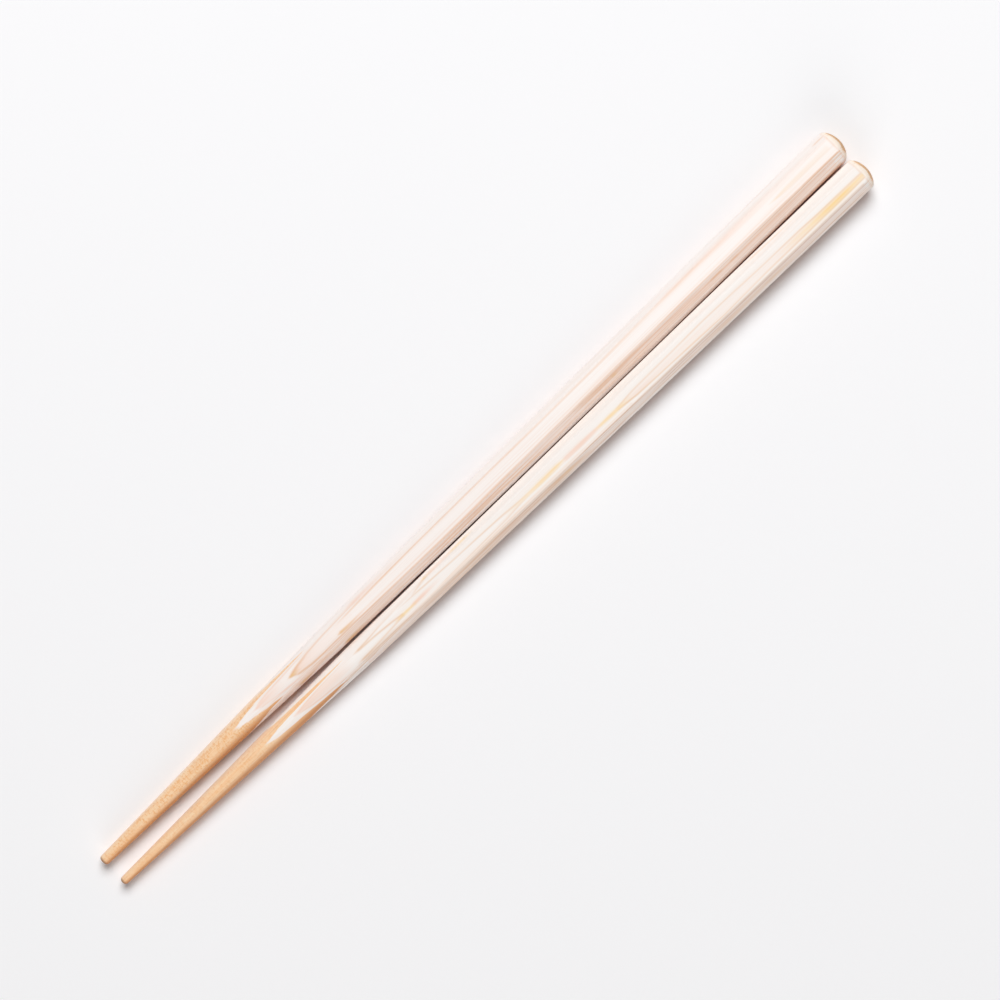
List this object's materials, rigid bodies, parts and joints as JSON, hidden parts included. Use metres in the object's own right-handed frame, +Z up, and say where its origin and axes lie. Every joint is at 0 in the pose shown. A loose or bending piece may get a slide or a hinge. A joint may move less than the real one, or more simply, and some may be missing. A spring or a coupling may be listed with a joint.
{
  "type": "pair of chopsticks",
  "caption": "Pair of tapered wooden chopsticks with ground flats, bare round tips and pale worn-back coats on the bodies, lying side by side.",
  "frame": {"origin": "under the middle of the pair, on the surface that the sticks rest on", "axes": "+X along the sticks from the tips to the butts, +Y from the front stick to the rear one, +Z up"},
  "size_m": [0.23, 0.0168, 0.0081],
  "materials": {
    "rear_coated_wood": "white and blush coats over light hardwood, rubbed back along the flats, clear satin varnish, bare wood tip",
    "front_coated_wood": "white and honey coats over light hardwood, rubbed back along the flats, clear satin varnish, bare wood tip"
  },
  "bodies": {
    "root": {"rear_chopstick": "rear_coated_wood", "front_chopstick": "front_coated_wood"}
  },
  "joints": []
}
